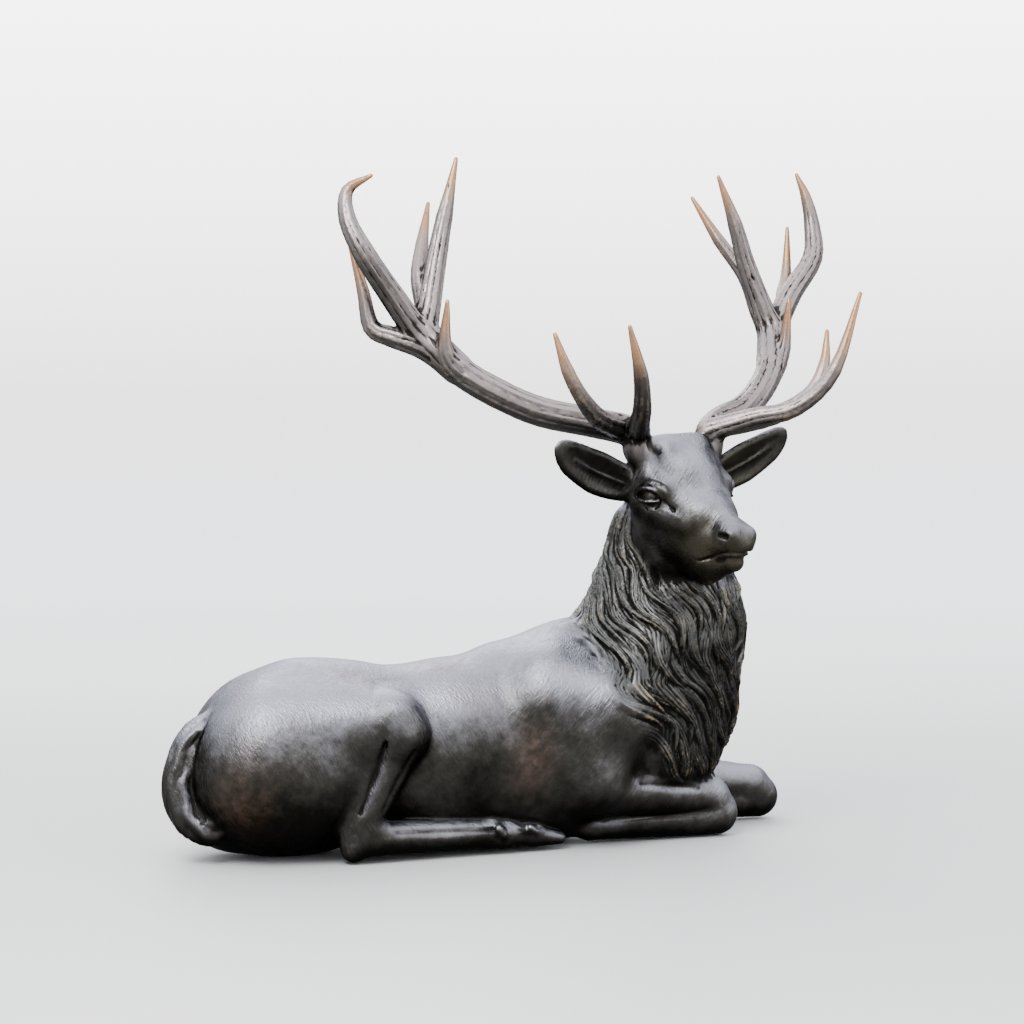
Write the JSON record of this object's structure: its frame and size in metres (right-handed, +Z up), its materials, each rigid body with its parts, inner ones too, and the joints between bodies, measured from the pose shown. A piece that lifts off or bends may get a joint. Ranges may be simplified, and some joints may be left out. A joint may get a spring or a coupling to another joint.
{
  "type": "reclining stag sculpture",
  "caption": "Life-size reclining stag with branching antlers and a carved mane, its head turned to one side; a patinated bronze garden sculpture.",
  "frame": {"origin": "point on the flat underside below the middle of the belly, at floor level", "axes": "+X from tail to breast, +Y to the animal's left, +Z up"},
  "size_m": [1.8697, 0.9267, 1.6933],
  "materials": {
    "bronze": "dark patinated bronze, rubbed copper on the antler tips"
  },
  "bodies": {
    "root": {"reclining_stag": "bronze"}
  },
  "joints": []
}
